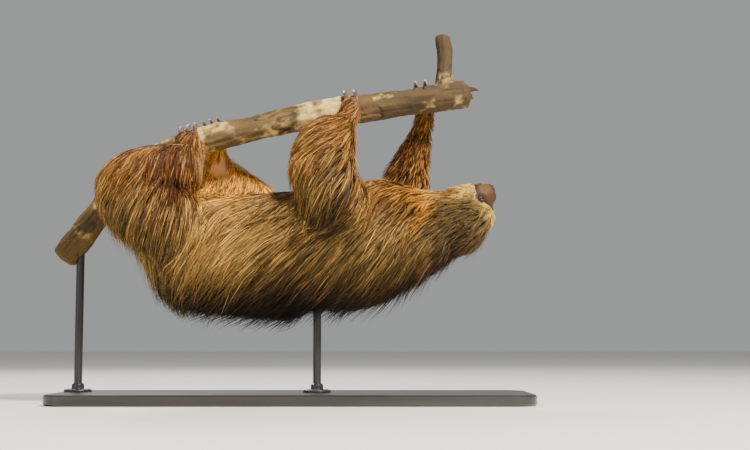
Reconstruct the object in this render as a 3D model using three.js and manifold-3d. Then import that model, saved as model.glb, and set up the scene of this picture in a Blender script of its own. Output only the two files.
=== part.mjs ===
// A two-toed sloth that hangs by all four limbs under a cut length of limb from a tree, on a display stand.
// Every surface of the animal is the outer surface of its coat, and each named piece is one closed solid.
// Millimetres, +Z up. +X runs towards the head and the animal's left side faces -Y, as it hangs belly up.
// The origin is the middle of the base's underside.
import * as THREE from "three";
import { mergeVertices } from "three/addons/utils/BufferGeometryUtils.js";
import Module from "manifold-3d";

const wasm = await Module();
wasm.setup();

// ---------------------------------------------------------------- driving dimensions
const GAP = 0.4; // between two pieces that meet
const BRANCH_RADIUS = 24;
const HAND_THICKNESS = 17; // half of it, from palm to back, with the fur
const FINGER_CLAW = { length: 74, width: 5.5, depth: 4.2 };
const TOE_CLAW = { length: 62, width: 4.8, depth: 4.0 };
const EYE_RADIUS = 6.5;
const HEAD_CENTRE = [289, 10, 312];
const HEAD_PITCH = 25; // degrees that the face is raised towards the branch
const HEAD_YAW = 26; // degrees that it is turned to the animal's right
const BASE = { length: 810, width: 250, height: 18, corner: 40, bevel: 3 };
const ROD_RADIUS = 7;
const BODY_ROD_X = 40;
const PERCH_ROD_X = -374;
const SOCKET = 34; // how deep the body's rod reaches into the coat of the back

// ---------------------------------------------------------------- small helpers
const vec = (x, y, z) => new THREE.Vector3(x, y, z);
const DOWN = vec(0, 0, -1);
const RIGHT_SIDE = vec(0, 1, 0);
const radians = THREE.MathUtils.degToRad;

const smooth = () => 1; // the relief of a plain tube
const DOME_ANGLES = [50]; // where a tube's dome has a hoop, between its pole at 90 and its rim at 0

// A closed tube through stations of [x, y, z, half width, half height], with a dome at both ends.
// The half width lies along `across` as nearly as the path allows. `grow` makes all of it thicker,
// and `relief(turn, along)` scales the outline at an angle round it and a share of its length.
function tubeGeometry(stations, options = {}) {
  const { rings = 12, sides = 16, across = RIGHT_SIDE, grow = 0, relief = smooth, domes = [0.8, 0.8] } = options;
  const line = new THREE.CatmullRomCurve3(stations.map(([x, y, z]) => vec(x, y, z)), false, "centripetal");
  const size = new THREE.CatmullRomCurve3(stations.map((s, i) => vec(s[3], s[4], i)), false, "catmullrom", 0.5);
  const hoops = [];
  const frame = (t) => {
    const along = line.getTangent(t);
    const side = across.clone().addScaledVector(along, -across.dot(along)).normalize();
    const up = side.clone().cross(along);
    const { x: w, y: h } = size.getPoint(t);
    return { centre: line.getPoint(t), along, side, up, w: w + grow, h: h + grow };
  };
  const first = frame(0);
  const last = frame(1);
  const domeHoop = (f, way, angle) => {
    const reach = Math.min(f.w, f.h) * domes[way < 0 ? 0 : 1] * Math.sin(radians(angle)) * way;
    const share = Math.cos(radians(angle));
    return { ...f, centre: f.centre.clone().addScaledVector(f.along, reach), w: f.w * share, h: f.h * share };
  };
  for (const angle of DOME_ANGLES) hoops.push({ ...domeHoop(first, -1, angle), t: 0 });
  for (let i = 0; i <= rings; i++) hoops.push({ ...frame(i / rings), t: i / rings });
  for (const angle of [...DOME_ANGLES].reverse()) hoops.push({ ...domeHoop(last, 1, angle), t: 1 });
  const places = [domeHoop(first, -1, 90).centre, domeHoop(last, 1, 90).centre];
  for (const hoop of hoops) {
    for (let j = 0; j < sides; j++) {
      const turn = (2 * Math.PI * j) / sides;
      const scale = relief(turn, hoop.t);
      places.push(
        hoop.centre
          .clone()
          .addScaledVector(hoop.side, hoop.w * scale * Math.cos(turn))
          .addScaledVector(hoop.up, hoop.h * scale * Math.sin(turn)),
      );
    }
  }
  const at = (i, j) => 2 + i * sides + (j % sides);
  const faces = [];
  for (let j = 0; j < sides; j++) {
    faces.push(0, at(0, j), at(0, j + 1));
    for (let i = 0; i + 1 < hoops.length; i++) {
      faces.push(at(i, j), at(i + 1, j), at(i + 1, j + 1), at(i, j), at(i + 1, j + 1), at(i, j + 1));
    }
    faces.push(1, at(hoops.length - 1, j + 1), at(hoops.length - 1, j));
  }
  const geometry = new THREE.BufferGeometry().setFromPoints(places);
  geometry.setIndex(faces);
  return geometry;
}

// A three.js geometry as a solid, with its faces turned outwards.
function solid(geometry) {
  const bare = geometry.clone();
  bare.deleteAttribute("normal");
  bare.deleteAttribute("uv");
  const merged = mergeVertices(bare, 1e-4);
  const triVerts = new Uint32Array(merged.index.array);
  const make = () =>
    new wasm.Manifold(
      new wasm.Mesh({ numProp: 3, vertProperties: new Float32Array(merged.attributes.position.array), triVerts }),
    );
  let made = make();
  if (made.volume() < 0) {
    for (let i = 0; i < triVerts.length; i += 3) {
      [triVerts[i + 1], triVerts[i + 2]] = [triVerts[i + 2], triVerts[i + 1]];
    }
    made = make();
  }
  return made;
}

const tube = (stations, options) => solid(tubeGeometry(stations, options));

// The largest of the bodies that a cut leaves.
const largest = (cut) => cut.decompose().sort((a, b) => b.volume() - a.volume())[0];

// The half space on one side of a plane, as a large box.
function halfSpace(point, normal) {
  const REACH = 2000;
  const box = new THREE.BoxGeometry(REACH, REACH, REACH);
  const turn = new THREE.Quaternion().setFromUnitVectors(vec(0, 0, 1), normal.clone().normalize());
  box.translate(0, 0, REACH / 2);
  box.applyQuaternion(turn);
  box.translate(point.x, point.y, point.z);
  return solid(box);
}

// ---------------------------------------------------------------- materials
const finish = (color, roughness, metalness = 0) => new THREE.MeshStandardMaterial({ color, roughness, metalness });
const MATERIALS = {
  coat: finish(0x9c7a4b, 0.9),
  face: finish(0xcdb488, 0.9),
  muzzle: finish(0x6e4a37, 0.6),
  nose: finish(0x2c211d, 0.35),
  eye: finish(0x1a0f0a, 0.1),
  claw: finish(0x6f5d48, 0.45),
  bark: finish(0x8d7c60, 0.9),
  base: finish(0x2b2a28, 0.5),
  rod: finish(0x3a3a3c, 0.4, 1),
};

const sloth = new THREE.Group();
sloth.name = "two_toed_sloth";

function show(name, made, material) {
  const { numProp, numVert, vertProperties, triVerts } = made.getMesh();
  const places = new Float32Array(numVert * 3);
  for (let i = 0; i < numVert; i++) places.set(vertProperties.subarray(i * numProp, i * numProp + 3), i * 3);
  const geometry = new THREE.BufferGeometry();
  geometry.setAttribute("position", new THREE.BufferAttribute(places, 3));
  geometry.setIndex(new THREE.BufferAttribute(new Uint32Array(triVerts), 1));
  geometry.computeVertexNormals();
  const mesh = new THREE.Mesh(geometry, material);
  mesh.name = name;
  sloth.add(mesh);
}

// Pieces of flesh in the order in which they are made: each is cut by those before it that it names.
const made = new Map();
function piece(name, shape, material, cutBy = []) {
  let own = shape(0);
  for (const other of cutBy) own = own.subtract(made.get(other)(GAP));
  show(name, largest(own), material);
  made.set(name, shape);
}

// ---------------------------------------------------------------- perch
const BRANCH_LINE = [
  [-402, 26, 250],
  [-372, 25, 288],
  [-330, 22, 345],
  [-284, 16, 400],
  [-236, 8, 429],
  [-162, 0, 452],
  [-67, -3, 474],
  [48, -2, 499],
  [143, 2, 514],
  [225, 4, 526],
  [298, 4, 536],
];
const branchCurve = new THREE.CatmullRomCurve3(
  BRANCH_LINE.map(([x, y, z]) => vec(x, y, z)),
  false,
  "centripetal",
);

// The knots and swellings of the bark, as a share of the branch's radius.
const knots = (turn, along) =>
  1 +
  0.05 * Math.sin(3 * turn + 11 * along) +
  0.045 * Math.sin(2 * turn - 29 * along + 1) +
  0.16 * Math.exp(-(((along - 0.79) / 0.03) ** 2)) * Math.max(0, Math.cos(turn - 1.2));

const branchTube = (grow) =>
  tube(
    BRANCH_LINE.map(([x, y, z]) => [x, y, z, BRANCH_RADIUS, BRANCH_RADIUS]),
    { rings: 22, sides: 9, grow, relief: knots, domes: [0.25, 0.25] },
  );
const sideShoot = (grow) =>
  tube(
    [
      [262, 6, 520, 21, 21],
      [259, 8, 558, 17, 17],
      [262, 9, 600, 15, 15],
      [258, 8, 640, 14, 14],
    ],
    { rings: 5, sides: 8, grow, relief: knots, domes: [0.1, 0.1] },
  );
// The torn stub at the end: three splinters of the old wood.
const splinters = (grow) =>
  [
    [298, 2, 543, 24],
    [294, 10, 530, 19],
    [296, -9, 532, 12],
  ]
    .map(([x, y, z, reach]) =>
      tube(
        [
          [x, y, z, 9, 7],
          [x + reach * 0.6, y, z + 1, 6, 4],
          [x + reach, y + 1, z - 2, 1.6, 1.2],
        ],
        { rings: 3, sides: 5, grow },
      ),
    )
    .reduce((a, b) => a.add(b));
const perch = (grow) => branchTube(grow).add(sideShoot(grow)).add(splinters(grow));

// A frame on the branch: its middle, its direction and the way to the top, at one x.
function branchAt(x) {
  let low = 0;
  let high = 1;
  for (let i = 0; i < 24; i++) {
    const t = (low + high) / 2;
    if (branchCurve.getPoint(t).x < x) low = t;
    else high = t;
  }
  const along = branchCurve.getTangent(low);
  const side = RIGHT_SIDE.clone().addScaledVector(along, -RIGHT_SIDE.dot(along)).normalize();
  const down = side.clone().cross(along).normalize();
  return { middle: branchCurve.getPoint(low), along, side, down };
}

// A point round the branch: 0 degrees is under it, 90 is level with it on the gripping side, 180 on top.
function roundBranch(x, way, degrees, radius, shift = 0) {
  const { middle, along, side, down } = branchAt(x);
  const a = radians(degrees);
  return middle
    .addScaledVector(down, Math.cos(a) * radius)
    .addScaledVector(side, Math.sin(a) * radius * way)
    .addScaledVector(along, shift);
}

// ---------------------------------------------------------------- trunk
// Half width is across the body, half height from belly to back.
const TRUNK_LINE = [
  [-247, 0, 279, 52, 42],
  [-212, 0, 265, 92, 74],
  [-160, 0, 257, 110, 96],
  [-93, 0, 256, 119, 104],
  [-30, 0, 258, 120, 107],
  [40, 0, 262, 118, 107],
  [105, 0, 275, 113, 112],
  [160, 1, 287, 99, 105],
  [196, 2, 292, 83, 89],
];
// Shallow folds where the long coat parts into sheets, slanting back down the flanks.
const coatFolds = (turn, along) =>
  1 + 0.012 * Math.sin(9 * turn + 24 * along) + 0.018 * Math.sin(5 * turn - 17 * along + 2);
const trunk = (grow) => tube(TRUNK_LINE, { rings: 15, sides: 20, grow, relief: coatFolds, domes: [0.75, 0.3] });

const TRUNK_CUTS = [-105, 75]; // x where the loins and the chest begin
const TRUNK_MIDDLE = 260;
const slice = (low, high) => {
  let part = trunk(0);
  if (low !== null) part = part.intersect(halfSpace(vec(low + GAP / 2, 0, TRUNK_MIDDLE), vec(1, 0, 0.25)));
  if (high !== null) part = part.intersect(halfSpace(vec(high - GAP / 2, 0, TRUNK_MIDDLE), vec(-1, 0, -0.25)));
  return part;
};

// ---------------------------------------------------------------- head
const pitch = radians(HEAD_PITCH);
const yaw = radians(HEAD_YAW);
const forward = vec(Math.cos(pitch) * Math.cos(yaw), Math.cos(pitch) * Math.sin(yaw), Math.sin(pitch));
const crown = vec(Math.sin(pitch) * Math.cos(yaw), Math.sin(pitch) * Math.sin(yaw), -Math.cos(pitch));
const leftward = vec(Math.sin(yaw), -Math.cos(yaw), 0);

// A point of the head: forwards of its middle, towards the crown and to its left.
const onHead = (f, u, l = 0) =>
  vec(...HEAD_CENTRE).addScaledVector(forward, f).addScaledVector(crown, u).addScaledVector(leftward, l);
const headStations = (list) =>
  list.map(([f, u, l, width, height]) => [...onHead(f, u, l).toArray(), width, height]);

// ---------------------------------------------------------------- limbs
// Each limb is described for the left side, with y as the distance from the body's middle plane.
// The two arms reach differently far forwards and the two legs are folded differently.
const LIMBS = {
  left: {
    way: -1,
    arm: {
      upper: [
        [92, 62, 300, 50, 58],
        [68, 88, 345, 52, 60],
        [56, 92, 385, 47, 57],
      ],
      fore: [
        [54, 91, 382, 46, 60],
        [56, 79, 420, 41, 57],
        [66, 66, 446, 34, 52],
        [76, 57, 464, 28, 43],
      ],
      grip: 97,
      lean: 2,
    },
    leg: {
      thigh: [
        [-165, 54, 281, 60, 67],
        [-222, 82, 315, 57, 58],
        [-276, 88, 351, 48, 50],
      ],
      shank: [
        [-284, 86, 357, 45, 50],
        [-258, 82, 382, 44, 46],
        [-218, 71, 397, 38, 41],
        [-180, 61, 397, 30, 42],
      ],
      grip: -173,
      lean: -4,
    },
  },
  right: {
    way: 1,
    arm: {
      upper: [
        [148, 58, 305, 46, 52],
        [176, 80, 350, 42, 51],
        [193, 88, 390, 36, 46],
      ],
      fore: [
        [194, 88, 388, 35, 45],
        [204, 77, 424, 29, 39],
        [217, 63, 460, 23, 29],
        [225, 54, 487, 19, 21],
      ],
      grip: 227,
      lean: -4,
    },
    leg: {
      thigh: [
        [-166, 56, 300, 56, 96],
        [-110, 76, 324, 50, 60],
        [-66, 82, 346, 36, 40],
      ],
      shank: [
        [-62, 80, 352, 32, 35],
        [-96, 72, 375, 33, 38],
        [-128, 63, 395, 30, 39],
        [-147, 56, 409, 24, 34],
      ],
      grip: -147,
      lean: 7,
    },
  },
};
const onSide = (way, stations) => stations.map(([x, y, z, w, h]) => [x, y * way, z, w, h]);

// A hand or foot: from the wrist or ankle, up one side of the branch, to where the claws start.
const mitten = (way, from, at, lean, width) => (grow) => {
  const reach = BRANCH_RADIUS + 2 + HAND_THICKNESS;
  const [x, y, z] = from;
  const stations = [[x, y * way, z, width * 0.95, HAND_THICKNESS * 1.25]];
  for (const [degrees, share] of [
    [70, 1.0],
    [94, 0.86],
    [114, 0.62],
  ]) {
    const p = roundBranch(at, way, degrees, reach - (1 - share) * HAND_THICKNESS, lean * (1 - share));
    stations.push([...p.toArray(), width * (0.7 + 0.3 * share), HAND_THICKNESS * share]);
  }
  return tube(stations, { rings: 5, sides: 8, across: vec(1, 0, 0.15), grow, domes: [0.6, 0.6] });
};

// A claw hooked over the branch, from the end of the hand and down the other side.
const claw = (way, at, shift, { length, width, depth }) => (grow) => {
  const START = 96;
  const reach = BRANCH_RADIUS * 1.08 + depth + 1;
  const sweep = (length / reach) * (180 / Math.PI);
  const stations = [0, 0.25, 0.5, 0.75, 1].map((share) => {
    const p = roundBranch(at, way, START + sweep * share, reach + 2 * share * share, shift);
    const taper = 1 - 0.82 * share ** 1.6;
    return [...p.toArray(), width * taper, depth * taper];
  });
  return tube(stations, { rings: 6, sides: 5, across: vec(1, 0, 0.15), grow, domes: [0.9, 0.9] });
};

// ---------------------------------------------------------------- the perch and its stand
show("perch", perch(0), MATERIALS.bark);
made.set("perch", perch);

const bodyRod = (grow) => {
  const top = 152 + SOCKET + grow;
  const rod = new THREE.CylinderGeometry(ROD_RADIUS + grow, ROD_RADIUS + grow, top - BASE.height - GAP, 16);
  rod.rotateX(Math.PI / 2);
  rod.translate(BODY_ROD_X, 0, (top + BASE.height + GAP) / 2);
  return solid(rod);
};
const perchRod = (grow) => {
  const foot = branchAt(PERCH_ROD_X).middle;
  const top = foot.z + grow;
  const rod = new THREE.CylinderGeometry(ROD_RADIUS + grow, ROD_RADIUS + grow, top - BASE.height - GAP, 16);
  rod.rotateX(Math.PI / 2);
  rod.translate(foot.x, foot.y, (top + BASE.height + GAP) / 2);
  return solid(rod).subtract(perch(GAP));
};

function basePlate() {
  const { length, width, height, corner, bevel } = BASE;
  const plan = new THREE.Shape();
  const [x, y] = [length / 2 - bevel, width / 2 - bevel];
  const r = corner - bevel;
  plan.moveTo(-x + r, -y);
  plan.lineTo(x - r, -y);
  plan.absarc(x - r, -y + r, r, -Math.PI / 2, 0);
  plan.lineTo(x, y - r);
  plan.absarc(x - r, y - r, r, 0, Math.PI / 2);
  plan.lineTo(-x + r, y);
  plan.absarc(-x + r, y - r, r, Math.PI / 2, Math.PI);
  plan.lineTo(-x, -y + r);
  plan.absarc(-x + r, -y + r, r, Math.PI, 1.5 * Math.PI);
  const plate = new THREE.ExtrudeGeometry(plan, {
    depth: height - 2 * bevel,
    bevelThickness: bevel,
    bevelSize: bevel,
    bevelSegments: 1,
    curveSegments: 4,
  });
  plate.translate(0, 0, bevel);
  return solid(plate);
}
show("stand_base", basePlate(), MATERIALS.base);
show("stand_rod_body", bodyRod(0), MATERIALS.rod);
show("stand_rod_perch", largest(perchRod(0)), MATERIALS.rod);
made.set("stand_rod_body", bodyRod);

// ---------------------------------------------------------------- the trunk's three pieces
made.set("trunk", trunk);
const socketed = (part) => part.subtract(bodyRod(GAP));
show("trunk_rump", largest(slice(null, TRUNK_CUTS[0])), MATERIALS.coat);
show("trunk_belly", largest(socketed(slice(TRUNK_CUTS[0], TRUNK_CUTS[1]))), MATERIALS.coat);
show("trunk_chest", largest(slice(TRUNK_CUTS[1], null)), MATERIALS.coat);

// ---------------------------------------------------------------- limbs, hands, feet and claws
const CLAWS = { arm: [-8.5, 8.5], leg: [-13, 0, 13] };
for (const [side, { way, arm, leg }] of Object.entries(LIMBS)) {
  const tubeOf = (stations) => (grow) => tube(onSide(way, stations), { rings: 5, sides: 12, grow });
  for (const [limb, names, stations, claws, width] of [
    [arm, ["upper_arm", "forearm", "hand"], [arm.upper, arm.fore], FINGER_CLAW, 21],
    [leg, ["thigh", "shank", "foot"], [leg.thigh, leg.shank], TOE_CLAW, 23],
  ]) {
    const [root, middle, end] = names.map((name) => `${name}_${side}`);
    const isArm = limb === arm;
    const clawNames = [];
    const grip = mitten(way, stations[1].at(-1), limb.grip, limb.lean, width);
    (isArm ? CLAWS.arm : CLAWS.leg).forEach((shift, i) => {
      const name = `claw_${isArm ? "hand" : "foot"}_${side}_${i + 1}`;
      piece(name, claw(way, limb.grip, shift + limb.lean, claws), MATERIALS.claw, ["perch"]);
      clawNames.push(name);
    });
    piece(root, tubeOf(stations[0]), MATERIALS.coat, ["trunk", "perch"]);
    piece(middle, tubeOf(stations[1]), MATERIALS.coat, ["trunk", "perch", root]);
    piece(end, grip, MATERIALS.coat, ["perch", middle, root, "trunk", ...clawNames]);
  }
}

// ---------------------------------------------------------------- neck, head and face
const EYES = { left: 1, right: -1 };
for (const [side, l] of Object.entries(EYES)) {
  const eye = (grow) => {
    const ball = new THREE.SphereGeometry(EYE_RADIUS + grow, 10, 7);
    ball.translate(...onHead(37, -25, 25 * l).toArray());
    return solid(ball);
  };
  piece(`eye_${side}`, eye, MATERIALS.eye);
  const ear = (grow) =>
    tube(headStations([[-6, 4, 44 * l, 9, 7], [-13, 6, 53 * l, 11, 5], [-18, 7, 59 * l, 7, 3]]), {
      rings: 3,
      sides: 8,
      across: crown,
      grow,
    });
  piece(`ear_${side}`, ear, MATERIALS.coat);
}
const noseShape = (grow) =>
  tube(headStations([[75, -30, 0, 14, 11], [81, -31, 0, 12.5, 10]]), { rings: 2, sides: 10, grow, domes: [0.35, 0.35] });
piece("nose", noseShape, MATERIALS.nose);
const muzzleShape = (grow) =>
  tube(
    headStations([
      [28, -19, 0, 33, 29],
      [40, -20.5, 0, 29.5, 27.5],
      [52, -21.5, 0, 25.5, 26.5],
      [64, -23, 0, 21.5, 24],
      [74, -26, 0, 18, 19.5],
    ]),
    { rings: 4, sides: 10, grow, domes: [0.45, 0.45] },
  );
piece("muzzle", muzzleShape, MATERIALS.muzzle, ["nose", "eye_left", "eye_right"]);
const jawShape = (grow) =>
  tube(
    headStations([
      [0, -43, 0, 34, 23],
      [20, -44, 0, 30, 16.5],
      [38, -44.5, 0, 24, 11],
      [54, -45, 0, 18, 7],
      [64, -45, 0, 13, 5],
    ]),
    { rings: 4, sides: 10, grow, domes: [0.6, 0.6] },
  );
piece("jaw", jawShape, MATERIALS.face, ["muzzle", "nose"]);
const headShape = (grow) =>
  tube(
    headStations([
      [-42, 2, 0, 46, 50],
      [-20, 1, 0, 52, 56],
      [5, 2, 0, 53, 55],
      [25, 4, 0, 48, 45],
      [44, 6.5, 0, 38, 29],
      [58, 6, 0, 27, 17],
    ]),
    { rings: 7, sides: 14, grow, domes: [0.45, 0.45] },
  );
piece("head", headShape, MATERIALS.face, ["muzzle", "jaw", "eye_left", "eye_right", "ear_left", "ear_right"]);
const neckShape = (grow) =>
  tube(
    [
      [194, 2, 292, 81, 88],
      [222, 2, 295, 70, 79],
      [250, 3, 303, 58, 69],
      [...onHead(-18, -4).toArray(), 50, 56],
    ],
    { rings: 4, sides: 14, grow, domes: [0.2, 0.3] },
  );
piece("neck", neckShape, MATERIALS.coat, ["trunk", "head", "jaw", "ear_left", "ear_right", "upper_arm_right"]);

export default sloth;
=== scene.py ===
"""A two-toed sloth that hangs belly up under a cut branch on a stand: its skin, coat, eyes and claws."""

from math import cos, pi, radians, sin

import bmesh
import bpy
import numpy as np
from mathutils import Matrix, Vector
from mathutils.bvhtree import BVHTree
from mathutils.kdtree import KDTree


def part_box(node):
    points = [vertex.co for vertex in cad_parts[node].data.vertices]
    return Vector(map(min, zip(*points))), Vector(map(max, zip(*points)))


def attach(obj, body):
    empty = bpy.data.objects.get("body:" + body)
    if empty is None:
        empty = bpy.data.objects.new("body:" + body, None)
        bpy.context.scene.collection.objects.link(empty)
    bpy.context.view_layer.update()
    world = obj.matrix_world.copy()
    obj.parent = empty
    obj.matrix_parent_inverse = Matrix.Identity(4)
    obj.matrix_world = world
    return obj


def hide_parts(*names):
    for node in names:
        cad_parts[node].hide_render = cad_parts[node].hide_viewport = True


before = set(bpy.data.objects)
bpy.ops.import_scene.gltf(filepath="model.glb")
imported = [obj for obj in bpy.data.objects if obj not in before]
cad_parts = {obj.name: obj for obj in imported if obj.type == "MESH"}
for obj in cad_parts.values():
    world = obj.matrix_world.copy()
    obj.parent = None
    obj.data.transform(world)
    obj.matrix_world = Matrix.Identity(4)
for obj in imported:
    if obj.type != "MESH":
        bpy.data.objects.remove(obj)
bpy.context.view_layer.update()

MM = 0.001
RNG = np.random.default_rng(7)

# ---- the head's own frame, as in the CAD
HEAD_CENTRE = np.array([289, 10, 312]) * MM
PITCH, YAW = radians(25), radians(26)
FORWARD = np.array([cos(PITCH) * cos(YAW), cos(PITCH) * sin(YAW), sin(PITCH)])
CROWN = np.array([sin(PITCH) * cos(YAW), sin(PITCH) * sin(YAW), -cos(PITCH)])
LEFTWARD = np.array([sin(YAW), -cos(YAW), 0.0])
EYE_RADIUS = 6.5 * MM
EYE_PLACE = (37, -25, 25)  # forwards, towards the crown, and to each side, in millimetres
GAZE = (0.5, 0.86, 0.06)  # how much the eyes look forwards, outwards and towards the crown


def head_point(f, u, side):
    """A point given in millimetres of the head's frame."""
    return HEAD_CENTRE + (FORWARD * f + CROWN * u + LEFTWARD * side) * MM


def in_head(points):
    """Columns of how far forwards, crownwards and leftwards each point is, in millimetres."""
    q = (points - HEAD_CENTRE) / MM
    return q @ FORWARD, q @ CROWN, q @ LEFTWARD


def eye_centre(way):
    """The middle of the left eye for 1, and of the right eye for -1."""
    return head_point(*EYE_PLACE[:2], EYE_PLACE[2] * way)


def gaze_of(way):
    """The way an eye looks."""
    ahead, outward, crownward = GAZE
    return unit(FORWARD * ahead + LEFTWARD * way * outward + CROWN * crownward)


# ---- small helpers
def unit(v):
    return v / np.maximum(np.linalg.norm(v, axis=-1, keepdims=True), 1e-9)


def blend(a, b, share):
    """From a to b by each point's share, where a and b are plain values, colours or places."""
    share = np.clip(share, 0, 1)
    if share.ndim == 1 and 3 in (np.shape(a)[-1:] + np.shape(b)[-1:]):
        share = share[:, None]
    return a * (1 - share) + b * share


def ramp(x, low, high):
    """0 below low, 1 above high, and smooth between."""
    t = np.clip((x - low) / (high - low), 0, 1)
    return t * t * (3 - 2 * t)


def srgb(r, g, b):
    """A colour of 0 to 255 as linear light."""
    c = np.array([r, g, b]) / 255
    return np.where(c <= 0.04045, c / 12.92, ((c + 0.055) / 1.055) ** 2.4)


HASH_PRIMES = (73856093, 19349663, 83492791)
HASH_FACTOR, HASH_MASK, HASH_HALF = 1274126177, 0x7FFFFFFF, 0x3FFFFFFF
SEED_STEP = 17.3  # how far apart, in cells, the noises of two seeds lie


def noise(points, cell, seed=0):
    """Smooth value noise from -1 to 1, on a lattice of the given cell."""
    q = np.asarray(points) / cell + 1000.0 + SEED_STEP * seed
    base = np.floor(q).astype(np.int64)
    f = q - base
    f = f * f * (3 - 2 * f)
    total = np.zeros(len(q))
    for corner in np.ndindex(2, 2, 2):
        x, y, z = ((base[:, i] + corner[i]) * HASH_PRIMES[i] for i in range(3))
        h = x ^ y ^ z
        h = ((h ^ (h >> 13)) * HASH_FACTOR) & HASH_MASK
        weight = np.prod([f[:, i] if corner[i] else 1 - f[:, i] for i in range(3)], axis=0)
        total += weight * (h / HASH_HALF - 1)
    return total


def mesh_object(name, verts, tris):
    """A new smooth-shaded object from arrays of points and triangles."""
    mesh = bpy.data.meshes.new(name)
    mesh.vertices.add(len(verts))
    mesh.vertices.foreach_set("co", np.asarray(verts, np.float32).ravel())
    mesh.loops.add(len(tris) * 3)
    mesh.loops.foreach_set("vertex_index", np.asarray(tris, np.int32).ravel())
    mesh.polygons.add(len(tris))
    mesh.polygons.foreach_set("loop_start", np.arange(len(tris), dtype=np.int32) * 3)
    mesh.update(calc_edges=True)
    mesh.polygons.foreach_set("use_smooth", np.ones(len(tris), bool))
    mesh.validate()
    return link_object(name, mesh)


def link_object(name, data):
    """A new object in the scene, for a mesh, a camera or a light."""
    made = bpy.data.objects.new(name, data)
    bpy.context.scene.collection.objects.link(made)
    return made


def arrays(obj, evaluated=False):
    """The points and triangles of an object."""
    source = obj.evaluated_get(bpy.context.evaluated_depsgraph_get()) if evaluated else obj
    mesh = source.to_mesh() if evaluated else obj.data
    verts = np.empty(len(mesh.vertices) * 3, np.float32)
    mesh.vertices.foreach_get("co", verts)
    mesh.calc_loop_triangles()
    tris = np.empty(len(mesh.loop_triangles) * 3, np.int32)
    mesh.loop_triangles.foreach_get("vertices", tris)
    if evaluated:
        source.to_mesh_clear()
    return verts.reshape(-1, 3).astype(float), tris.reshape(-1, 3)


def paint(mesh, colours):
    """The mesh's marking: a colour for each point, in linear light."""
    layer = mesh.color_attributes.new("marking", "FLOAT_COLOR", "POINT")
    rgba = np.ones((len(colours), 4), np.float32)
    rgba[:, :3] = colours
    layer.data.foreach_set("color", rgba.ravel())


def dress(piece, slot_name, material, *nodes):
    """Puts a finished piece on the frame with its material, and hides the CAD nodes it stands for; the
    slot name is not used.
    """
    piece.data.materials.clear()
    piece.data.materials.append(material)
    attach(piece, "root")
    if nodes:
        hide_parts(*nodes)
    return piece


class Surface:
    """A triangle mesh with its neighbours, for smoothing what its points carry."""

    def __init__(self, verts, tris):
        self.verts, self.tris = verts, tris
        pairs = np.concatenate([tris[:, [0, 1]], tris[:, [1, 2]], tris[:, [2, 0]]])
        pairs = np.unique(np.concatenate([pairs, pairs[:, ::-1]]), axis=0)
        self.start = np.searchsorted(pairs[:, 0], np.arange(len(verts)))
        self.near = pairs[:, 1]
        self.count = np.diff(np.append(self.start, len(pairs)))[:, None]

    def smooth(self, values, rounds, rate=0.5):
        """Values drawn towards the mean of their neighbours."""
        flat = values.reshape(len(values), -1)
        for _ in range(rounds):
            mean = np.add.reduceat(flat[self.near], self.start, axis=0) / self.count
            flat = flat + (mean - flat) * rate
        return flat.reshape(values.shape)

    def normals(self):
        a, b, c = (self.verts[self.tris[:, i]] for i in range(3))
        face = np.cross(b - a, c - a)
        total = np.zeros_like(self.verts)
        for i in range(3):
            for axis in range(3):
                total[:, axis] += np.bincount(self.tris[:, i], face[:, axis], len(self.verts))
        return unit(total)


def largest_shell(verts, tris):
    """The connected part of a mesh with the most points."""
    surface = Surface(verts, tris)
    label, before = np.arange(len(verts)), None
    while not np.array_equal(label, before):
        before = label
        label = np.minimum(label, np.minimum.reduceat(label[surface.near], surface.start))
        label = label[label]
    keep = label == np.bincount(label).argmax()
    index = np.cumsum(keep) - 1
    return verts[keep], index[tris[keep[tris[:, 0]]]]


def voxel_shell(verts, tris, voxel):
    """The outside of a closed mesh of several overlapping or nearly touching bodies."""
    source = mesh_object("voxel_source", verts, tris)
    remesh = source.modifiers.new("voxels", "REMESH")
    remesh.mode = "VOXEL"
    remesh.voxel_size = voxel
    made = arrays(source, evaluated=True)
    bpy.data.objects.remove(source)
    return largest_shell(*made)


def cad_arrays(names):
    """The points and triangles of several CAD nodes together, and which node each triangle is of."""
    verts, tris, owner, offset = [], [], [], 0
    for i, name in enumerate(names):
        v, t = arrays(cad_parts[name])
        verts.append(v)
        tris.append(t + offset)
        owner.append(np.full(len(t), i))
        offset += len(v)
    return np.concatenate(verts), np.concatenate(tris), np.concatenate(owner)


# ---- the camera, low and looking slightly up
def aim(obj, place, target):
    obj.location = place
    obj.rotation_euler = (Vector(target) - Vector(place)).to_track_quat("-Z", "Y").to_euler()


CAMERA_AWAY, VIEW_WIDTH = 2.2, 1.29  # how far off the camera stands, and how much width it sees there
CAMERA_PLACE, CAMERA_TARGET = (0.139, -CAMERA_AWAY, 0.10), (0.139, 0, 0.305)
SENSOR = 36  # millimetres


def add_camera():
    camera = bpy.data.cameras.new("camera")
    camera.sensor_width = SENSOR
    camera.lens = SENSOR * CAMERA_AWAY / VIEW_WIDTH
    obj = link_object("camera", camera)
    aim(obj, CAMERA_PLACE, CAMERA_TARGET)
    bpy.context.scene.camera = obj


# Each light's place, target, size, power and colour.
LIGHTS = {
    "key": ((1.4, -1.9, 2.5), (0, 0, 0.3), 0.5, 295, (1.0, 0.91, 0.77)),
    "fill": ((-2.2, -2.0, 0.8), (0, 0, 0.3), 1.8, 12, (0.9, 0.95, 1.0)),
    "rim": ((-0.8, 2.0, 2.0), (0, 0, 0.35), 1.0, 50, (1.0, 0.96, 0.9)),
}
SKY_COLOUR, SKY_STRENGTH = (0.98, 0.99, 1.0, 1), 0.36
FLOOR_COLOUR, FLOOR_SIZE = (0.80, 0.79, 0.77, 1), 30
FLOOR_DROP = 0.0005  # how far the floor lies below the stand, so that the two don't flicker


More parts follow.
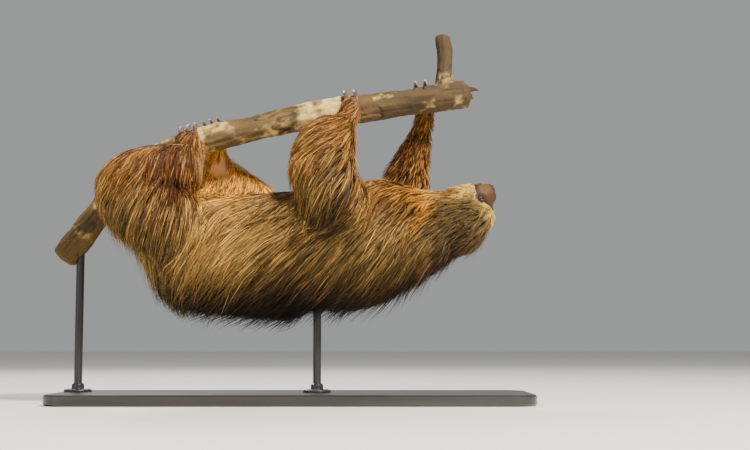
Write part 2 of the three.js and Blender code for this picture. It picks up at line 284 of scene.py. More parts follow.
def add_light(name, place, target, size, power, colour):
    light = bpy.data.lights.new(name, "AREA")
    light.shape = "DISK"
    light.size = size
    light.energy = power
    light.color = colour
    aim(link_object(name, light), place, target)


def add_sky():
    world = bpy.data.worlds.new("studio")
    world.use_nodes = True
    background = world.node_tree.nodes["Background"]
    background.inputs["Color"].default_value = SKY_COLOUR
    background.inputs["Strength"].default_value = SKY_STRENGTH
    bpy.context.scene.world = world


def add_floor():
    bpy.ops.mesh.primitive_plane_add(size=FLOOR_SIZE, location=(0, 0, -FLOOR_DROP))
    floor = bpy.context.object
    floor.name = "floor"
    material, shader, _, _ = new_material("pale_floor", roughness=0.6)
    shader.inputs["Base Color"].default_value = FLOOR_COLOUR
    floor.data.materials.append(material)


def add_studio():
    for name, setting in LIGHTS.items():
        add_light(name, *setting)
    add_sky()
    add_floor()


# ---- materials
def new_material(name, **settings):
    """A material whose shader has these sockets set, with underscores for spaces."""
    material = bpy.data.materials.new(name)
    material.use_nodes = True
    nodes, links = material.node_tree.nodes, material.node_tree.links
    shader = nodes["Principled BSDF"]
    for key, value in settings.items():
        shader.inputs[key.replace("_", " ").title().replace("Ior", "IOR")].default_value = value
    return material, shader, nodes, links


def add_noise(nodes, links, scale, detail=4.0, stretch=(1, 1, 1)):
    """A noise texture in object space, drawn out along the axes whose stretch is small."""
    place = nodes.new("ShaderNodeTexCoord")
    mapping = nodes.new("ShaderNodeMapping")
    mapping.inputs["Scale"].default_value = stretch
    texture = nodes.new("ShaderNodeTexNoise")
    texture.inputs["Scale"].default_value = scale
    texture.inputs["Detail"].default_value = detail
    links.new(place.outputs["Object"], mapping.inputs["Vector"])
    links.new(mapping.outputs["Vector"], texture.inputs["Vector"])
    return texture.outputs["Fac"]


def add_bump(nodes, links, shader, height, strength, distance):
    bump = nodes.new("ShaderNodeBump")
    bump.inputs["Strength"].default_value = strength
    bump.inputs["Distance"].default_value = distance
    links.new(height, bump.inputs["Height"])
    links.new(bump.outputs["Normal"], shader.inputs["Normal"])


NOISE_SPAN = (0.3, 0.7)  # what a noise texture's value keeps to, all but a little


def shade(nodes, links, colour, height, low, high):
    """A colour made darker and lighter by a texture, between two factors."""
    span = nodes.new("ShaderNodeMapRange")
    span.inputs["From Min"].default_value, span.inputs["From Max"].default_value = NOISE_SPAN
    span.inputs["To Min"].default_value = low
    span.inputs["To Max"].default_value = high
    links.new(height, span.inputs["Value"])
    mix = nodes.new("ShaderNodeVectorMath")
    mix.operation = "SCALE"
    links.new(colour, mix.inputs[0])
    links.new(span.outputs["Result"], mix.inputs["Scale"])
    return mix.outputs["Vector"]


def grained_material(name, grain, factors, bump=None, colour=None, **settings):
    """A material of one colour, or of its mesh's painted marking, varied and roughened by a grain."""
    material, shader, nodes, links = new_material(name, **settings)
    if colour:
        source = nodes.new("ShaderNodeRGB")
        source.outputs[0].default_value = (*colour, 1)
    else:
        source = nodes.new("ShaderNodeVertexColor")
        source.layer_name = "marking"
    height = add_noise(nodes, links, *grain)
    links.new(shade(nodes, links, source.outputs[0], height, *factors), shader.inputs["Base Color"])
    if bump:
        add_bump(nodes, links, shader, height, *bump)
    return material


# ---- regions of the body
# For each part: the coat's depth and hair length in millimetres, how densely its tufts stand,
# the width of a tuft and the size of a lock of them in millimetres, and how closely the hair
# clings to the body, from 0 where it hangs free to 1.
REGIONS = {
    "trunk_rump": (24, 118, 11, 1.45, 11, 0.8),
    "trunk_belly": (24, 118, 11, 1.45, 11, 0.8),
    "trunk_chest": (23, 112, 11, 1.45, 11, 0.8),
    "neck": (13, 84, 14, 1.3, 9, 0.75),
    "head": (9, 48, 26, 0.9, 7, 0.85),
    "jaw": (4, 22, 32, 0.75, 5, 0.85),
    "muzzle": (0.6, 6, 4, 0.5, 5, 0.9),
    "nose": (0.3, 4, 2, 0.5, 5, 0.9),
    "ear_left": (2, 20, 30, 0.8, 5, 0.8),
    "ear_right": (2, 20, 30, 0.8, 5, 0.8),
    "upper_arm_left": (18, 96, 12, 1.4, 11, 0.4),
    "upper_arm_right": (15, 70, 12, 1.3, 9, 0.6),
    "forearm_left": (13, 72, 16, 1.2, 11, 0.35),
    "forearm_right": (9, 40, 16, 1.1, 7, 0.6),
    "hand_left": (5, 52, 26, 0.95, 7, 0.3),
    "hand_right": (5, 26, 24, 0.95, 7, 0.6),
    "thigh_left": (18, 108, 12, 1.4, 11, 0.4),
    "thigh_right": (15, 48, 20, 1.2, 9, 0.6),
    "shank_left": (15, 96, 19, 1.35, 11, 0.2),
    "shank_right": (7, 30, 20, 0.95, 7, 0.6),
    "foot_left": (6, 66, 32, 1.05, 7, 0.15),
    "foot_right": (4, 22, 24, 0.95, 7, 0.6),
}
FLESH = list(REGIONS)
PLUGS = ["eye_left", "eye_right"]  # fill the eye sockets while the skin is made

DEPTH, LENGTH, DENSITY, WIDTH, LOCK, CLING = range(6)  # the table's columns
TRUNK = ("trunk_rump", "trunk_belly", "trunk_chest", "neck")
NEAR_LEG = ("thigh_left", "shank_left")
FAR_HIND_LEG = ("shank_right", "foot_right", "thigh_right")
FACE_HAIR = (-4, 42)  # how far behind the mask the hair of the face starts, and is full grown
MASK_HAIR = 0.22  # its length at the mask, as a share of the head's
MASK_DENSITY, DENSE = 1.8, (2, 13)  # how much denser it is there, and over which stretch
THROAT_CROP = 0.5  # how much shorter the hair of the throat is
SHANK_TOP, SHANK_DENSITY = (0.395, 0.415), 1.6  # the near leg under the perch, and how much denser it is


def region_columns(owner):
    """The table above as columns, one row for each point."""
    return np.array([REGIONS[name] for name in FLESH], float)[owner]


def on_parts(owner, *names):
    """1 for the points that belong to the named parts, and 0 for the others."""
    return np.isin(owner, [FLESH.index(n) for n in names]).astype(float)


# Patches of the coat, in metres: where along the body they start and end, and the height they set in at.
# The ones that run on to the end of their part end at NOWHERE.
NOWHERE = (9, 10)
PATCHES = {
    "hips": ((-0.20, -0.14), (-0.02, 0.05), (0.22, 0.27)),
    # The groin and the hollow by the near knee are darkened as painted shade.
    "groin_shade": ((-0.26, -0.23), (-0.13, -0.10), (0.325, 0.35)),
    "knee_hollow_shade": ((-0.226, -0.206), NOWHERE, (0.340, 0.366)),
    # The chest patch is darkened as painted leaf shade.
    "chest": ((0.08, 0.13), NOWHERE, (0.26, 0.31)),
    "throat": ((0.205, 0.222), (0.252, 0.268), (0.305, 0.335)),
    "golden": ((0.230, 0.245), (0.265, 0.28), (0.335, 0.355)),
}


def patch(points, name):
    """1 inside one of the patches above, and 0 outside it."""
    start, end, height = PATCHES[name]
    x, _, z = points.T
    return ramp(x, *start) * ramp(z, *height) * (1 - ramp(x, *end))


def hair_columns(points, owner):
    """The table's columns: hair finer at the mask, shorter on the throat and denser atop the near leg."""
    behind, on_head = behind_mask(points)
    on_muzzle = on_parts(owner, "muzzle", "nose") > 0
    columns = region_columns(np.where(on_muzzle & (behind > -2), FLESH.index("head"), owner))
    grown = blend(1.0, ramp(behind, *FACE_HAIR), on_head)
    cropped = 1 - THROAT_CROP * patch(points, "throat")
    columns[:, LENGTH] *= (MASK_HAIR + (1 - MASK_HAIR) * grown) * cropped
    at_mask = blend(0.0, MASK_DENSITY * (1 - ramp(behind, *DENSE)), on_head)
    columns[:, DENSITY] *= 1.5 - 0.5 * grown + at_mask
    columns[:, WIDTH] *= 0.6 + 0.4 * grown
    leg_top = on_parts(owner, *NEAR_LEG) * ramp(points[:, 2], *SHANK_TOP)
    columns[:, DENSITY] *= 1 + SHANK_DENSITY * leg_top
    return columns


FOREARM_TOP, LEG_TOP = (0.40, 0.45), (0.38, 0.42)  # upwards, where the coat thins towards the perch
FOOT_FRONT = (-0.185, -0.155)  # towards the head, where the near foot's coat thins
UPWARD = (0.25, 0.8)  # the slope of the skin from the flank to the top of the belly


def coat_depth(points, normals, owner):
    """How deep the coat is over each point of the skin: thin near the perch, and on belly and face."""
    x, _, z = points.T
    depth = region_columns(owner)[:, DEPTH]
    depth = depth * (1 - 0.6 * on_parts(owner, *TRUNK) * ramp(normals[:, 2], *UPWARD))
    depth = depth * (1 - 0.5 * on_parts(owner, "forearm_left") * ramp(z, *FOREARM_TOP))
    depth = depth * (1 - 0.6 * on_parts(owner, *NEAR_LEG) * ramp(z, *LEG_TOP))
    depth = depth * (1 - 0.6 * on_parts(owner, "shank_left", "foot_left") * ramp(x, *FOOT_FRONT))
    behind, _ = behind_mask(points)
    return depth * blend(1.0, 0.38 + 0.62 * ramp(behind, 0, 45), on_parts(owner, "head"))


# Which way the hair lies, in degrees below the line towards the rump, at places along the body in
# millimetres: on the trunk, the near hind leg and the near upper arm.
TRUNK_LIE = ([-280, -200, -120, -40, 40, 100, 160, 220, 300], [78, 64, 44, 30, 32, 40, 42, 30, 14])
LEG_LIE = ([-340, -280, -220, -175, -155], [42, 54, 64, 84, 112])
ARM_LIE = ([0, 40, 80, 130], [84, 66, 46, 40])
FLATTER = 16  # how many degrees flatter the hair lies towards the belly, and atop the near leg
TOP = (0.3, 0.9)  # the slope of the skin from the side to the top
STEADY_LIES = {
    ("thigh_right",): [-0.55, 0.1, -0.83],
    ("shank_right", "foot_right"): [-0.4, 0.2, -0.89],
    ("forearm_left", "hand_left"): [-0.84, -0.1, -0.53],
    ("upper_arm_right", "forearm_right", "hand_right"): [-0.45, 0.2, -0.87],
    ("head", "jaw", "ear_left", "ear_right"): [-0.93, 0.0, -0.3],
}


def lie_angle(x, lie):
    places, angles = lie
    return np.interp(x, np.array(places) * MM, angles)


def downwards(angle, across):
    """The way so many degrees below the line towards the rump, with a part across the body."""
    angle = np.radians(angle)
    return np.stack([-np.cos(angle), across, -np.sin(angle)], 1)


def lie_of_coat(points, normals, owner):
    """Which way the hair grows: from face, belly, hands and feet, towards the rump and the back."""
    x, y, z = points.T
    top = ramp(normals[:, 2], *TOP)
    flatter = FLATTER * ramp(z, 0.28, 0.36) * (1 - ramp(x, 0.0, 0.06))
    way = downwards(lie_angle(x, TRUNK_LIE) - flatter, 0 * x)
    way[:, 1] += np.sign(y) * 0.7 * top

    def set_way(names, vectors):
        chosen = on_parts(owner, *names) > 0
        way[chosen] = np.broadcast_to(vectors, way.shape)[chosen]

    leg_angle = lie_angle(x, LEG_LIE) - FLATTER * ramp(z, 0.40, 0.44)
    set_way(["thigh_left", "shank_left", "foot_left"], downwards(leg_angle, -0.45 * top))
    set_way(["upper_arm_left"], downwards(lie_angle(x, ARM_LIE), 0 * x))
    for names, vector in STEADY_LIES.items():
        set_way(names, vector)
    return way


# ---- where the skin is bare
# The edge of the bare face: how far forwards it lies at heights towards the crown, both in millimetres.
MASK_HEIGHTS = [-52, -42, -31, -18, -2, 8, 16, 24]
MASK_EDGES = [44, 39, 35, 39.5, 49, 58, 66, 74]
HEAD_REACH = (98, 108)  # millimetres from the head's centre


def behind_mask(points):
    """How far a point lies behind the edge of the bare face, in millimetres, and 1 on the head itself."""
    f, u, _ = in_head(points)
    edge = np.interp(u, MASK_HEIGHTS, MASK_EDGES)
    on_head = 1 - ramp(np.linalg.norm(points - HEAD_CENTRE, axis=1) / MM, *HEAD_REACH)
    return edge - f, on_head


def from_eye(points):
    """How far a point is from the middle of the nearer eye, in millimetres."""
    away = [np.linalg.norm(points - eye_centre(way), axis=1) for way in (1, -1)]
    return np.minimum(*away) / MM


HEEL = np.array([-131, 30, 414]) * MM  # the bare sole of the far foot
HEEL_SHAPE, HEEL_EDGE = [0.7, 0.8, 1.15], (13, 23)  # its stretch along each axis, and its rim
BARE_LIDS = (9.5, 11.5)  # no hair grows as near as this to the eye's middle, in millimetres


def bare_heel(points):
    away = (points - HEEL) / MM
    ragged = 6 * noise(points, 0.009, 24)
    return 1 - ramp(np.linalg.norm(away * HEEL_SHAPE, axis=1) + ragged, *HEEL_EDGE)


def haired(points):
    """0 on the bare face, round the eyes and on the bare heel, and 1 where hair grows."""
    behind, on_head = behind_mask(points)
    grows = 1 - on_head * (1 - ramp(behind, -2.0, 0.5))
    return grows * ramp(from_eye(points), *BARE_LIDS) * (1 - bare_heel(points))


# ---- markings, shared by skin and coat, with painted shade and painted light among them
STRAW = srgb(216, 172, 94)
TAN = srgb(144, 104, 52)
# The dark brown of the back, which hangs lowest: its own colour and painted shade.
DARK_BACK_AND_SHADE = srgb(46, 32, 17)
ORANGE = srgb(216, 144, 44)
RUSSET = srgb(146, 92, 34)
# A dark brown for inner sides, also used on the belly, and for painted shade in the groin, the knee
# hollow and on the far arm.
INNER_BROWN_AND_SHADE = srgb(84, 46, 17)
CREAM = srgb(255, 218, 118)
CROWN_TAN = srgb(98, 78, 44)
# A darker brown for the nape: partly its own colour, partly painted leaf shade.
NAPE_AND_SHADE = srgb(64, 48, 28)
MUZZLE = srgb(88, 60, 34)
NOSE = srgb(58, 44, 42)
# The bare heel's pink skin, made lighter as painted light.
LIT_HEEL_PINK = srgb(252, 178, 124)
# The far leg's orange, made lighter as painted sunlight.
LIT_FAR_LEG_ORANGE = srgb(255, 186, 76)
LID = srgb(48, 30, 25)
# Dark skin round the eyes, and painted shade along the edge of the bare face.
DARK_SKIN_AND_EDGE_SHADE = srgb(40, 25, 16)

# Where a marking sets in, in metres: along the body towards the head, and upwards.
FORE_HALF, MID_BELLY, FORE_BELLY, BREAST = (-0.06, 0.07), (-0.06, 0.0), (0.06, 0.12), (0.08, 0.12)
KNEE_HOLLOW_SHADE_FRONT = (-0.180, -0.162)
BACK_SHADE_HEIGHT, BELLY_HEIGHT, LEG_HEIGHT = (0.196, 0.266), (0.33, 0.37), (0.385, 0.43)


def darken(colour, factor, share):
    """The colour times the factor, as far as each point's share says."""
    return colour * blend(1.0, factor, share)[:, None]


def markings(points, normals, owner):
    """The coat's colour, and the bare skin's, at each point of the body, with painted shade and painted
    light in places.
    """
    colour = trunk_markings(points, normals, owner)
    # The near leg and the near upper arm darker: partly browner hair, partly painted shade.
    colour = darken(colour, 0.44, on_parts(owner, *NEAR_LEG))
    colour = darken(colour, 0.6, on_parts(owner, "upper_arm_left"))
    orange = 0.62 + 0.3 * noise(points, 0.02, 25)
    colour = blend(colour, ORANGE, orange * patch(points, "throat"))
    colour = blend(colour, CREAM, 0.3 * patch(points, "golden"))
    colour = limb_markings(points, normals, owner, colour)
    return face_markings(points, owner, colour)


def trunk_markings(points, normals, owner):
    """Straw hips, a front half darkened by browner hair and painted leaf shade, a back darkened by its
    own colour and painted shade, and a warm belly.
    """
    x, _, z = points.T
    colour = np.tile(TAN, (len(points), 1))
    straw = 0.4 + 0.3 * patch(points, "hips") + 0.5 * noise(points * [0.6, 1, 1], 0.05, 1)
    colour = blend(colour, STRAW, straw)
    # The front half darker: partly browner hair, partly painted leaf shade; the chest darker still as
    # painted leaf shade.
    colour = darken(colour, 0.38, ramp(x, *FORE_HALF))
    colour = darken(colour, 0.72, patch(points, "chest"))
    # The back darkened from below: its own darker hair and painted shade under the body.
    colour = blend(colour, DARK_BACK_AND_SHADE, 0.95 * (1 - ramp(z + 0.02 * noise(points, 0.04, 23), *BACK_SHADE_HEIGHT)))
    belly = ramp(z, *BELLY_HEIGHT) * ramp(normals[:, 2], 0.1, 0.7)
    warm = blend(ORANGE, INNER_BROWN_AND_SHADE, ramp(x, *MID_BELLY) * (1 - ramp(x, *FORE_BELLY)))
    warm = blend(warm, INNER_BROWN_AND_SHADE, 0.7 * ramp(x, *BREAST))
    return blend(colour, warm, 0.75 * belly * on_parts(owner, *TRUNK))


def limb_markings(points, normals, owner, colour):
    """Russet limbs; the far leg's golden inside and the pink heel, both lightened as painted light; the
    far arm browner with painted shade; painted shade in the groin and in the hollow by the near knee.
    """
    x, y, z = points.T
    inward = 1 - ramp(normals[:, 1], -0.35, 0.35)
    far_leg = on_parts(owner, *FAR_HIND_LEG)
    far_arm = 0.8 * on_parts(owner, "forearm_right", "hand_right")
    far_arm = far_arm + 0.5 * inward * on_parts(owner, "upper_arm_right")
    near_arm = on_parts(owner, "forearm_left", "hand_left")
    leg_top = on_parts(owner, *NEAR_LEG) * ramp(z, *LEG_HEIGHT)
    groin_shade = patch(points, "groin_shade") * ramp(y, -0.052, -0.02) * (1 - far_leg)
    knee_hollow_shade = patch(points, "knee_hollow_shade") * on_parts(owner, "foot_left", *NEAR_LEG)
    layers = [
        # The far leg's inside lightened: its orange hair and painted sunlight.
        (LIT_FAR_LEG_ORANGE, inward * far_leg),
        # The far arm darker: its own browner hair and painted shade.
        (blend(RUSSET, INNER_BROWN_AND_SHADE, 0.5), far_arm),
        (RUSSET, near_arm * (0.55 + 0.25 * noise(points, 0.02, 2))),
        (RUSSET, leg_top * 0.7),
        # Painted shade in the groin and in the hollow by the near knee.
        (INNER_BROWN_AND_SHADE, 0.85 * groin_shade),
        (blend(INNER_BROWN_AND_SHADE, RUSSET, ramp(x, *KNEE_HOLLOW_SHADE_FRONT)), 0.9 * knee_hollow_shade),
        # The bare heel: its pink skin, lightened as painted light.
        (LIT_HEEL_PINK, bare_heel(points)),
    ]
    for tint, share in layers:
        colour = blend(colour, tint, share)
    return colour


# On the face, in millimetres of the head's frame.
NAPE_START, CREAM_RIM = (-20, 30), (8, 21)
CHIN_DOWN, CHIN_FRONT = (34, 46), (-12, 6)
CHEEK, CHEEK_EDGE = (4, -56, 8), (8, 17)
PAD_FRONT, PAD_SIZE, PAD_MIDDLE = (75, 77.5), (19, 13), 30
DARK_SOCKET, LIDS = (10.5, 12.8), (7.4, 8.6)  # from the eye's middle


def face_markings(points, owner, colour):
    """The brown crown with a darker nape, partly painted leaf shade, the cream ring, russet cheek, bare
    muzzle with painted shade at its edge and towards the eyes, nose pad, dark skin round the eyes, and
    eyelids.
    """
    f, u, side = in_head(points)
    behind, on_head = behind_mask(points)
    head = on_parts(owner, "head", "jaw", "ear_left", "ear_right", "muzzle", "nose")
    # The crown darkens towards the nape: partly the hair's own colour, partly painted leaf shade.
    crown = blend(CROWN_TAN, NAPE_AND_SHADE, ramp(-f, *NAPE_START) * ramp(u, *NAPE_START))
    colour = blend(colour, crown, head * 0.9)
    chin = ramp(-u, *CHIN_DOWN) * ramp(f, *CHIN_FRONT)
    colour = blend(colour, CREAM, head * np.maximum(1 - ramp(behind, *CREAM_RIM), chin))
    cheek = np.stack([f - CHEEK[0], 1.5 * (u - CHEEK[1]), 0.6 * np.abs(side) - CHEEK[2]], 1)
    colour = blend(colour, RUSSET, 0.9 * head * (1 - ramp(np.linalg.norm(cheek, axis=1), *CHEEK_EDGE)))
    # Bare skin: painted shade along the edge of the bare face and towards the eyes, with the muzzle's
    # brown between.
    skin = blend(DARK_SKIN_AND_EDGE_SHADE, MUZZLE, ramp(-behind, 3, 14) * (1 - 0.55 * ramp(u, -38, -18)))
    colour = blend(colour, skin, on_head * (1 - ramp(behind, -0.5, 2.2)))
    pad = ellipse(side, u + PAD_MIDDLE, PAD_SIZE)
    nose = ramp(f + 0.27 * np.abs(side), *PAD_FRONT) * (1 - ramp(pad, 1.0, 1.12))
    colour = blend(colour, NOSE, nose * on_head)
    eye = from_eye(points)
    colour = blend(colour, DARK_SKIN_AND_EDGE_SHADE, (1 - ramp(eye, *DARK_SOCKET)) * on_head)
    return blend(colour, LID, (1 - ramp(eye, *LIDS)) * on_head)


# ---- skin
def owners(points):
    """The flesh node that is nearest to each point."""
    verts, tris, owner = cad_arrays(FLESH)
    tree = BVHTree.FromPolygons(verts.tolist(), tris.tolist())
    return owner[[tree.find_nearest(Vector(p))[2] for p in points]]


def refine_face(verts, tris, rounds=2):
    """More points on the front of the head, where the face has its folds."""
    source = mesh_object("face", verts, tris)
    bm = bmesh.new()
    bm.from_mesh(source.data)
    for step in range(rounds):
        middles = np.array([(e.verts[0].co + e.verts[1].co) / 2 for e in bm.edges])
        behind, on_head = behind_mask(middles)
        close = (on_head > 0.5) & (behind < 8 - 4 * step)
        chosen = [edge for edge, fine in zip(bm.edges, close) if fine]
        bmesh.ops.subdivide_edges(bm, edges=chosen, cuts=1, use_grid_fill=True)
        bmesh.ops.triangulate(bm, faces=bm.faces)
    bm.to_mesh(source.data)
    bm.free()
    made = arrays(source)
    bpy.data.objects.remove(source)
    return made


def groove(distance, width):
    """The profile of a narrow groove, 1 at its middle."""
    return np.exp(-((distance / width) ** 2))


def ellipse(a, b, radii):
    """1 on an ellipse's edge, less inside it and more outside."""
    return ((a / radii[0]) ** 2 + (b / radii[1]) ** 2) ** 0.5


# The face's folds, in millimetres of the head's frame.
PAD_RADII, PAD_CENTRE = (13.2, 10.8), 30.5
MOUTH = ([40, 52, 64, 76, 82], [-45.5, -46, -45, -43.5, -43])
NOSTRIL, NOSTRIL_RADII, NOSE_TIP = (6.4, 31), (3.9, 2.5), (77, 80)


def press_nose_pad(out, verts):
    """The groove round the nose pad, the one down its middle, and its grain."""
    f, u, side = in_head(verts)
    pad = ellipse(side, u + PAD_CENTRE, PAD_RADII)
    out = out - 0.9 * groove(pad - 1.08, 0.09) * ramp(f, 73, 77)
    out = out - 0.8 * groove(side, 0.9) * ramp(f, 76, 80) * ramp(-u, 31, 35)
    return out + 0.12 * noise(verts, 0.0016, 14) * (1 - ramp(pad, 0.9, 1.1)) * ramp(f, 76, 79)


def press_mouth(out, verts):
    """The line of the mouth between its two lips."""
    f, u, _ = in_head(verts)
    mouth = u - np.interp(f, *MOUTH)
    out = out - 1.8 * groove(mouth, 1.0) * ramp(f, 43, 48)
    out = out + 0.9 * groove(mouth - 2.8, 1.6) * ramp(f, 50, 58)
    return out + 0.7 * groove(mouth + 2.6, 1.5) * ramp(f, 50, 58)


def press_wrinkles(out, verts):
    """Creases round the bare muzzle, which wander and come and go."""
    f, _, _ = in_head(verts)
    behind, on_head = behind_mask(verts)
    bare = on_head * (1 - ramp(behind, -2, 1))
    crease = np.sin(f * 1.15 + 2.2 * noise(verts, 0.012, 3)) * (0.5 + 0.5 * noise(verts, 0.007, 4))
    return out + 0.28 * crease * bare * (1 - ramp(f, 74, 77))


def press_nostrils(out, verts):
    """A slanting hole with a raised rim on each side of the nose."""
    f, u, side = in_head(verts)
    for way in (1, -1):
        outward, upward = side * way - NOSTRIL[0], u + NOSTRIL[1]
        hole = ellipse(outward, upward - 0.35 * outward, NOSTRIL_RADII)
        out = out - 4.6 * (1 - ramp(hole, 0.4, 1.1)) * ramp(f, *NOSE_TIP)
        out = out + 0.8 * groove(hole - 1.5, 0.3) * ramp(f, *NOSE_TIP)
    return out


def fold_face(surface):
    """Presses the nose pad, mouth, wrinkles and nostrils into the skin, and opens the eyes."""
    normals = surface.normals()
    _, on_head = behind_mask(surface.verts)
    out = np.zeros(len(surface.verts))
    for press in (press_nose_pad, press_mouth, press_wrinkles, press_nostrils):
        out = press(out, surface.verts)
    surface.verts = surface.verts + normals * (out * on_head)[:, None] * MM
    for way in (1, -1):
        open_eye(surface, way)


ALMOND = (0.76, 0.56)  # the sines of half the eye opening's angles, along and across
LIDS_REACH, SOCKET_REACH, BALL_CLEARED = 2.4, 3.2, 0.78  # in radii of the ball


def open_eye(surface, way):
    """Parts the skin over one eye and lays its lids on the ball."""
    centre, gaze = eye_centre(way), gaze_of(way)
    level = unit(FORWARD - gaze * (FORWARD @ gaze))
    upright = np.cross(gaze, level)
    away = surface.verts - centre
    reach = np.linalg.norm(away, axis=1) / EYE_RADIUS
    ray = unit(away)
    a, b, facing = ray @ level, ray @ upright, ray @ gaze
    almond = ellipse(a, b, ALMOND)
    near = (facing > 0) & (reach < SOCKET_REACH)
    inside = near & (almond < 1)
    lid = near & ~inside & (reach < LIDS_REACH)
    rim = 1.06 + 0.12 * groove(almond - 1.3, 0.25) - 0.08 * groove(almond - 1.8, 0.2)
    target = np.where(inside, BALL_CLEARED, blend(rim, reach, ramp(almond, 1.6, 3.0)))
    moved = np.where(inside | lid, target, reach)
    surface.verts = centre + ray * (moved * EYE_RADIUS)[:, None]


SKIN_VOXEL = 3.2 * MM


def build_skin():
    """One skin for all the flesh, inside the CAD surface by the coat's depth."""
    verts, tris, _ = cad_arrays(FLESH + PLUGS)
    surface = Surface(*voxel_shell(verts, tris, SKIN_VOXEL))
    owner = owners(surface.verts)
    behind, on_head = behind_mask(surface.verts)
    face = on_head * (1 - ramp(behind, 0, 14))
    soft = surface.smooth(surface.verts, 16)
    surface.verts = blend(soft, surface.smooth(surface.verts, 4), face)
    depth = surface.smooth(coat_depth(surface.verts, surface.normals(), owner), 26) * MM
    surface.verts = surface.verts - surface.normals() * depth[:, None]
    surface.verts = blend(surface.smooth(surface.verts, 6), surface.smooth(surface.verts, 1), face)
    surface = Surface(*refine_face(surface.verts, surface.tris))
    behind, on_head = behind_mask(surface.verts)
    face = on_head * (1 - ramp(behind, 0, 10))
    surface.verts = blend(surface.verts, surface.smooth(surface.verts, 8), face)
    fold_face(surface)
    return surface


TRAIT_ROUNDS, FACE_ROUNDS, COLOUR_ROUNDS, NORMAL_ROUNDS = 24, 4, 14, 4  # of smoothing


def skin_traits(surface):
    """What each point of the skin says to the hair that grows near it."""
    verts, normals, owner = surface.verts, surface.normals(), owners(surface.verts)
    behind, on_head = behind_mask(verts)
    columns = hair_columns(verts, owner)
    soft = surface.smooth(columns, TRAIT_ROUNDS)
    columns = blend(soft, surface.smooth(columns, FACE_ROUNDS), on_head[:, None])
    depth = surface.smooth(coat_depth(verts, normals, owner), TRAIT_ROUNDS)
    way = surface.smooth(lie_of_coat(verts, normals, owner), TRAIT_ROUNDS)
    way -= normals * np.sum(way * normals, 1)[:, None]
    colours = markings(verts, normals, owner)
    soft = surface.smooth(colours, COLOUR_ROUNDS)
    colours = blend(soft, colours, on_head * (1 - ramp(behind, 4, 12)))
    return {
        "owner": owner, "normal": surface.smooth(normals, NORMAL_ROUNDS), "way": way, "colour": colours,
        "depth": depth * MM, "length": columns[:, LENGTH] * MM, "density": columns[:, DENSITY],
        "width": columns[:, WIDTH] * MM, "lock": columns[:, LOCK] * MM, "cling": columns[:, CLING],
    }


def dress_skin(surface, traits):
    """The skin in its markings, with painted shade under the hair, darkest under long hair."""
    body = mesh_object("skin", surface.verts, surface.tris)
    # Painted shade under the coat: the skin darker under hair, darkest under long hair.
    shade_under_hair = 0.30 + 0.4 * ramp(-traits["length"] / MM, -80, -35)
    paint(body.data, darken(traits["colour"], shade_under_hair, haired(surface.verts)))
    material = grained_material("sloth_skin", (900,), (0.75, 1.2), (0.35, 0.0006),
                                roughness=0.55, specular_ior_level=0.3)
    return dress(body, "coat", material, *FLESH)


# ---- coat
GUIDE_STEPS = 9
RINGS = 4
TUFTS = 66000
TUFTS_EACH = 9000  # in one piece: 198,000 triangles


def nearest(tree, points):
    return np.array([tree.find(p)[1] for p in points])


def tree_of(points):
    tree = KDTree(len(points))
    for i, p in enumerate(points):
        tree.insert(p, i)
    tree.balance()
    return tree


def scatter(surface, traits, count):
    """Random roots, as dense as the hair there: their places, and a skin point next to each."""
    a, b, c = (surface.verts[surface.tris[:, i]] for i in range(3))
    area = np.linalg.norm(np.cross(b - a, c - a), axis=1) / 2
    density = traits["density"][surface.tris].mean(1) * haired(surface.verts)[surface.tris].min(1)
    weight = area * density
    face = RNG.choice(len(area), count, p=weight / weight.sum())
    r, s = RNG.random(count) ** 0.5, RNG.random(count)
    roots = a[face] * (1 - r)[:, None] + b[face] * (r * (1 - s))[:, None] + c[face] * (r * s)[:, None]
    corner = surface.tris[face, RNG.integers(0, 3, count)]
    return roots, corner


def spaced_guides(surface, traits):
    """Skin points about one lock apart: one for each cell of a grid, whose cell depends on the region."""
    chosen = []
    grows = haired(surface.verts) > 0.5
    for size in (5, 7, 9, 11, 13):
        member = np.flatnonzero((np.abs(traits["lock"] / MM - size) <= 1.0) & grows)
        order = RNG.permutation(member)
        cell = np.floor(surface.verts[order] / (size * MM)).astype(int)
        _, first = np.unique(cell, axis=0, return_index=True)
        chosen.append(order[first])
    return np.unique(np.concatenate(chosen))


def trace_guides(surface, traits, starts, tree):
    """Each lock's path over the skin, with the skin's normal and the coat's depth along it."""
    place = surface.verts[starts].copy()
    swirl = 0.34 * noise(place, 0.045, 20) + RNG.normal(0, 0.12, len(starts))
    way = traits["way"][starts]
    way = unit(way + np.cross(traits["normal"][starts], way) * swirl[:, None])
    step = traits["length"][starts] * RNG.uniform(0.9, 1.15, len(starts)) / (GUIDE_STEPS - 1)
    path, normal, depth = [place], [traits["normal"][starts]], [traits["depth"][starts]]
    for _ in range(GUIDE_STEPS - 1):
        place = place + way * step[:, None]
        at = nearest(tree, place)
        n, cling = traits["normal"][at], traits["cling"][at]
        lift = np.sum((place - surface.verts[at]) * n, 1)
        place = place - n * np.where(lift < 0, lift, cling * lift)[:, None]
        field = traits["way"][at]
        pull = 0.5 * np.linalg.norm(field, axis=1, keepdims=True)
        sag = np.outer(0.03 + 0.22 * (1 - cling), [0, 0, -1])
        way = unit(way * (1 - pull) + field * 0.55 + sag)
        path.append(place)
        normal.append(n)
        depth.append(traits["depth"][at])
    return np.stack(path, 1), unit(np.stack(normal, 1)), np.stack(depth, 1)


def along(values, t):
    """Values of each row's path at shares t of its length, interpolated."""
    at = np.clip(t, 0, 1) * (GUIDE_STEPS - 1)
    low = np.minimum(at.astype(int), GUIDE_STEPS - 2)
    share = at - low
    row = np.arange(len(values))[:, None]
    if values.ndim == 3:
        share = share[..., None]
    return values[row, low] * (1 - share) + values[row, low + 1] * share


